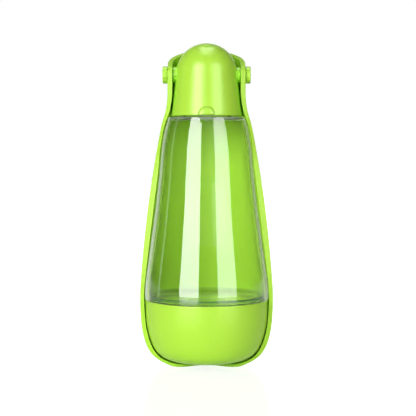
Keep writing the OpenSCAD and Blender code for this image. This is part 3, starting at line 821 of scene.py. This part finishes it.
def end_patch(z_low, columns, rows):
    """(y, z) grid of the side wall's end: columns run from the rim to the round back, and the
    grid's corner sits in the middle of the rounded corner."""
    middle = math.radians(180 - (90 - math.degrees(TOP_SLOPE)) / 2)
    left = [Vector((RIM_Y, z_low)), Vector((RIM_Y, CORNER_Z))]
    left += corner_points(math.pi, middle)[1:]
    top = corner_points(middle, math.pi / 2 + TOP_SLOPE)
    top.append(Vector((BACK_OFFSET, end_z(BACK_OFFSET))))
    right = [Vector((BACK_OFFSET, z_low)), top[-1]]
    bottom = [left[0], right[0]]
    grid = []
    for t in rows:
        row = []
        for s in columns:
            edge = (polyline_at(left, t) * (1 - s) + polyline_at(right, t) * s
                    + polyline_at(bottom, s) * (1 - t) + polyline_at(top, s) * t)
            corners = (left[0] * (1 - s) * (1 - t) + right[0] * s * (1 - t)
                       + left[-1] * (1 - s) * t + right[-1] * s * t)
            row.append(edge - corners)
        grid.append(row)
    return grid


def rim_y(w):
    """Front of the side walls, which is cut back by the thumb notch in the end's middle."""
    radius = (NOTCH_HALF_WIDTH ** 2 + NOTCH_DEPTH ** 2) / (2 * NOTCH_DEPTH)
    if w >= NOTCH_HALF_WIDTH:
        return RIM_Y
    return RIM_Y + NOTCH_DEPTH - radius + math.sqrt(radius ** 2 - w ** 2)


def shell_grid(rows, w_end, thicker=0.0, set_back=0.0):
    """Grid of points of one face of the trough's wall, from right rim to left rim, row by row.
    The wall can get thicker towards the rim by moving this face inward, below the shoulder, and
    the rim slants where this face is set back."""
    shares = [0, SUPPORT / (BACK_OFFSET - RIM_Y)] + [
        k / (STRAIGHT_COLUMNS - 1) for k in range(1, STRAIGHT_COLUMNS)]
    full_w = THICKER_FROM_WIDTH * TROUGH_WIDEST
    fade_height = THICKER_FROM_HEIGHT * (SHOULDER_Z - BASE_Z)
    grid = []
    for w, z in rows:
        front = rim_y(w)
        inward = thicker * min(1, w / full_w, max(0, (SHOULDER_Z - z) / fade_height))
        half = [(w - inward * max(0, 1 - THICKER_FALL * s),
                 front + s * (BACK_OFFSET - front) + set_back * (1 - s) ** 2, z)
                for s in shares]
        grid.append(half_to_row(half, w, lambda y, z=z: z))
    z_low = rows[-1][1]
    for row, t in zip(end_patch(z_low, shares, END_ROWS), END_ROWS):
        half = [(w_end, p.x + set_back * (1 - s) ** 2, p.y) for p, s in zip(row, shares)]
        grid.append(half_to_row(half, w_end, lambda y, t=t: z_low + t * (end_z(y) - z_low)))
    return grid


def half_to_row(half, w, height):
    """Row of points from the right side's half, round the back, to the left side."""
    arc = []
    for k in range(1, ARC_COLUMNS):
        a = math.pi * k / ARC_COLUMNS
        y = BACK_OFFSET + w * math.sin(a)
        arc.append((w * math.cos(a), y, height(y)))
    return half + arc + [(-x, y, z) for x, y, z in reversed(half)]


def add_grid(bm, grid):
    """Adds a grid of points with its faces, and gives the loop of vertices along its rim."""
    verts = [[bm.verts.new(p) for p in row] for row in grid]
    for low, high in zip(verts, verts[1:]):
        add_strip(bm, low, high)
    return ([row[0] for row in verts] + verts[-1][1:]
            + [row[-1] for row in reversed(verts[:-1])])


def add_strip(bm, low, high):
    for k in range(len(low) - 1):
        bm.faces.new((low[k], low[k + 1], high[k + 1], high[k]))


def close_rim(bm, loop_out, loop_in):
    """Joins the wall's two faces along the rim, by bands that keep its edges crisp."""
    bands = [loop_out]
    for place in (SUPPORT, None, -SUPPORT):
        band = []
        for a, b in zip(loop_out, loop_in):
            across = b.co - a.co
            share = 0.5 if place is None else place / max(across.length, 3 * SUPPORT)
            band.append(bm.verts.new(a.co + across * (share if share > 0 else 1 + share)))
        bands.append(band)
    bands.append(loop_in)
    for low, high in zip(bands, bands[1:]):
        add_strip(bm, low, high)


def build_trough():
    outer_curve = trough_curve(TROUGH_OUTER_FOOT, TROUGH_OUTER_SIDE, TROUGH_OUTER_ARM,
                               TROUGH_WIDEST, ARM_OUTER_X)
    inner_curve = trough_curve(TROUGH_INNER_FOOT, TROUGH_INNER_SIDE, TROUGH_INNER_ARM,
                               TROUGH_WIDEST - TROUGH_WALL, ARM_INNER_X)
    outer = shell_grid(rows_of(outer_curve, 0.0), ARM_OUTER_X, set_back=RIM_SLANT)
    inner = shell_grid(rows_of(inner_curve, inner_curve[0][1]), ARM_INNER_X, RIM_THICKER)
    bm = bmesh.new()
    loop_out = add_grid(bm, outer)
    loop_in = add_grid(bm, inner)
    close_rim(bm, loop_out, loop_in)
    bmesh.ops.remove_doubles(bm, verts=bm.verts, dist=MERGE_DISTANCE)
    bmesh.ops.dissolve_degenerate(bm, edges=bm.edges, dist=MERGE_DISTANCE)
    trough = new_object("trough_shell", bm)
    subdivision = trough.modifiers.new("subdivision", "SUBSURF")
    subdivision.levels = subdivision.render_levels = 2
    apply_modifiers(trough)
    bore_start, seat_start = 2 * ARM_OUTER_X, ARM_INNER_X
    bore = rod("bore", PIN_BORE, 2 * bore_start, 48, on_hinge_axis(1, -bore_start))
    seat = rod("seat", BOSS_RADIUS + 0.3 * MM, 2 * seat_start, 48, on_hinge_axis(1, -seat_start))
    return boolean(trough, "DIFFERENCE", bore, seat)


# ---------------------------------------------------------------- pieces

clear_body = finish_piece(build_body(), clear_outside, "bottle", "clear_plastic", "bottle_body")
use_inside_material(clear_body, clear_inside)
clear_floor = finish_piece(build_floor(), clear_inside, "bottle", "clear_plastic", "bottle_floor")
use_floor_edge_shade(clear_floor, floor_edge_shade)
finish_piece(build_cup(), green, "base_cup", "green_plastic", "base_cup")
finish_piece(build_cap(), green, "cap", "green_plastic", "cap_shell")
finish_piece(build_knob(-1), green, "cap", "green_plastic", "hinge_knob_left")
finish_piece(build_knob(1), green, "cap", "green_plastic", "hinge_knob_right")
finish_piece(build_trough(), trough_green, "trough", "green_plastic", "trough")

KEPT_NODES = {
    "base_seal": rubber, "stopper_gasket": rubber, "neck_o_ring": rubber, "liner_seal": rubber,
    "valve_plug": rubber, "neck_stopper": white, "cap_liner": white,
    "hinge_pin_left": steel, "hinge_pin_right": steel,
    # The washers get the darkened green, which is painted shade.
    "hinge_washer_left": washer_shaded_green, "hinge_washer_right": washer_shaded_green,
}
for node, material in KEPT_NODES.items():
    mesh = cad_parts[node].data
    mesh.materials.clear()
    mesh.materials.append(material)


# ---------------------------------------------------------------- floor and backdrop

def by_direction(nodes, links, from_y, to_y, low, high):
    """White background whose strength goes from low, in front of the object, to high behind it,
    while the direction's Y goes from from_y to to_y."""
    background = nodes.new("ShaderNodeBackground")
    background.inputs["Color"].default_value = (1, 1, 1, 1)
    place = nodes.new("ShaderNodeTexCoord")
    direction = nodes.new("ShaderNodeSeparateXYZ")
    links.new(place.outputs["Generated"], direction.inputs[0])
    links.new(mapped(nodes, links, direction.outputs["Y"], from_y, to_y, low, high),
              background.inputs["Strength"])
    return background.outputs["Background"]


def white_world():
    """Studio that is seen white. What it reflects and how it lights the object is a bright
    backdrop behind the object and a dim room behind the camera. Light that was reflected
    inside the clear plastic on its way sees the same as a plain reflection."""
    world = bpy.data.worlds.new("studio")
    bpy.context.scene.world = world
    world.use_nodes = True
    nodes, links = world.node_tree.nodes, world.node_tree.links
    seen = nodes["Background"]
    seen.inputs["Color"].default_value = (1, 1, 1, 1)
    seen.inputs["Strength"].default_value = 1.0
    fill = by_direction(nodes, links, from_y=0.1, to_y=0.95, low=0.07, high=0.8)
    reflected = by_direction(nodes, links, from_y=0.7, to_y=1.0, low=0.05, high=1.0)
    through = by_direction(nodes, links, from_y=-0.5, to_y=0.1, low=0.05, high=1.0)
    path = nodes.new("ShaderNodeLightPath")
    mirrored = nodes.new("ShaderNodeMath")
    mirrored.operation = "GREATER_THAN"
    mirrored.inputs[1].default_value = 0.5
    links.new(path.outputs["Glossy Depth"], mirrored.inputs[0])
    past_plastic = mixed_shader(nodes, links, mirrored.outputs[0], through, reflected)
    lit = mixed_shader(nodes, links, path.outputs["Is Glossy Ray"], fill, reflected)
    lit = mixed_shader(nodes, links, path.outputs["Is Transmission Ray"], lit, past_plastic)
    links.new(mixed_shader(nodes, links, path.outputs["Is Camera Ray"], lit,
                           seen.outputs["Background"]),
              nodes["World Output"].inputs["Surface"])


def white_card(nodes, links):
    """What light that bounces off the floor onto the object finds: card that is white under the
    object and darker further out."""
    card = nodes.new("ShaderNodeBsdfDiffuse")
    place = nodes.new("ShaderNodeTexCoord")
    away = nodes.new("ShaderNodeVectorMath")
    away.operation = "LENGTH"
    links.new(place.outputs["Object"], away.inputs[0])
    links.new(mapped(nodes, links, away.outputs["Value"], 0.12, 0.5, 0.8, 0.2),
              card.inputs["Color"])
    return card.outputs["BSDF"]


def studio_floor():
    """Floor that is seen white where the light reaches it, and keeps the contact shadow."""
    bm = bmesh.new()
    bmesh.ops.create_grid(bm, x_segments=8, y_segments=8, size=4.0)
    floor = new_object("studio_floor", bm)
    material, nodes, links, shader = node_material("studio_floor")
    shader.inputs["Base Color"].default_value = (0.24, 0.24, 0.24, 1)
    shader.inputs["IOR"].default_value = 1.25
    haze = noise(nodes, links, 30, detail=3)
    links.new(ranged(nodes, links, haze, 0.1, 0.14), shader.inputs["Roughness"])
    path = nodes.new("ShaderNodeLightPath")
    glow = nodes.new("ShaderNodeEmission")
    glow.inputs["Color"].default_value = (1, 1, 1, 1)
    links.new(mapped(nodes, links, path.outputs["Is Glossy Ray"], 0, 1, 0.84, 0.39),
              glow.inputs["Strength"])
    both = nodes.new("ShaderNodeAddShader")
    links.new(shader.outputs["BSDF"], both.inputs[0])
    links.new(glow.outputs["Emission"], both.inputs[1])
    seen = higher(nodes, links, path.outputs["Is Camera Ray"], path.outputs["Is Glossy Ray"])
    seen = higher(nodes, links, seen, path.outputs["Is Transmission Ray"])
    links.new(mixed_shader(nodes, links, seen, white_card(nodes, links), both.outputs["Shader"]),
              nodes["Material Output"].inputs["Surface"])
    floor.data.materials.append(material)


# ---------------------------------------------------------------- lights

# Upright soft boxes: name, azimuths of their edges in degrees from the camera's side, height
# of their upper edge in metres, and radiance.
STRIPS = (
    ("strip_left", -49, -14, 0.52, 14.5),
    ("strip_right", 20, 55, 0.52, 9.2),
    ("strip_side", -98, -93, 0.4, 1.8),
)
STRIP_LOW_Z = 0.001
STRIP_DISTANCE = 0.45
# Broad lamps: name, azimuth and elevation in degrees, irradiance and size in metres.
SOFT_LIGHTS = (
    ("key", -30, 15, 2.75, 1.2),
    ("fill", 40, 15, 0.95, 1.2),
    ("back_fill", 180, 20, 1.2, 1.5),
)
SOFT_LIGHT_DISTANCE = 1.8
SOFT_LIGHT_TARGET = Vector((0, 0, 0.1))


def area_light(name, place, target, size_x, size_y, radiance, diffuse=True, glossy=True):
    """Rectangular light. Its radiance is what a mirror would show of it."""
    light = bpy.data.lights.new(name, "AREA")
    light.shape = "RECTANGLE"
    light.size, light.size_y = size_x, size_y
    light.energy = radiance * math.pi * size_x * size_y
    lamp = bpy.data.objects.new(name, light)
    lamp.location = place
    lamp.rotation_euler = (Vector(target) - Vector(place)).to_track_quat("-Z", "Y").to_euler()
    lamp.visible_diffuse = diffuse
    lamp.visible_glossy = glossy
    lamp.visible_transmission = False
    lamp.visible_camera = False
    bpy.context.scene.collection.objects.link(lamp)


def strip_box(name, azimuth_from, azimuth_to, high_z, radiance):
    """Soft box that is only seen in reflections."""
    middle = math.radians((azimuth_from + azimuth_to) / 2)
    half = math.radians((azimuth_to - azimuth_from) / 2)
    middle_z = (STRIP_LOW_Z + high_z) / 2
    place = (STRIP_DISTANCE * math.sin(middle), -STRIP_DISTANCE * math.cos(middle), middle_z)
    area_light(name, place, (0, 0, middle_z), 2 * STRIP_DISTANCE * math.tan(half),
               high_z - STRIP_LOW_Z, radiance, diffuse=False)


def soft_light(name, azimuth, elevation, irradiance, size):
    """Lamp for the object's colours, not seen in reflections. Its irradiance is what a surface
    that faces it gets: pi makes a white one white."""
    a, e = math.radians(azimuth), math.radians(elevation)
    direction = Vector((math.sin(a) * math.cos(e), -math.cos(a) * math.cos(e), math.sin(e)))
    place = SOFT_LIGHT_TARGET + SOFT_LIGHT_DISTANCE * direction
    radiance = irradiance * (SOFT_LIGHT_DISTANCE / size) ** 2
    area_light(name, place, SOFT_LIGHT_TARGET, size, size, radiance, glossy=False)


white_world()
studio_floor()
for strip in STRIPS:
    strip_box(*strip)
area_light("top_box", place=(0, 0.12, 1.15), target=(0, 0.12, 0.2), size_x=0.5, size_y=0.75,
           radiance=7.0, diffuse=False)
for lamp in SOFT_LIGHTS:
    soft_light(*lamp)


# ---------------------------------------------------------------- camera

# Millimetres for the sensor and the lens, and degrees below level for the view.
SENSOR_WIDTH = 36
LENS = 100.3
CAMERA_PLACE = (0.9 * MM, -739 * MM, 139.5 * MM)
CAMERA_DOWN = 2.973

camera = bpy.data.cameras.new("camera")
camera.sensor_width = SENSOR_WIDTH
camera.lens = LENS
eye = bpy.data.objects.new("camera", camera)
eye.location = CAMERA_PLACE
eye.rotation_euler = (math.radians(90 - CAMERA_DOWN), 0, 0)
bpy.context.scene.collection.objects.link(eye)
bpy.context.scene.camera = eye
bpy.context.scene.view_settings.view_transform = "Standard"
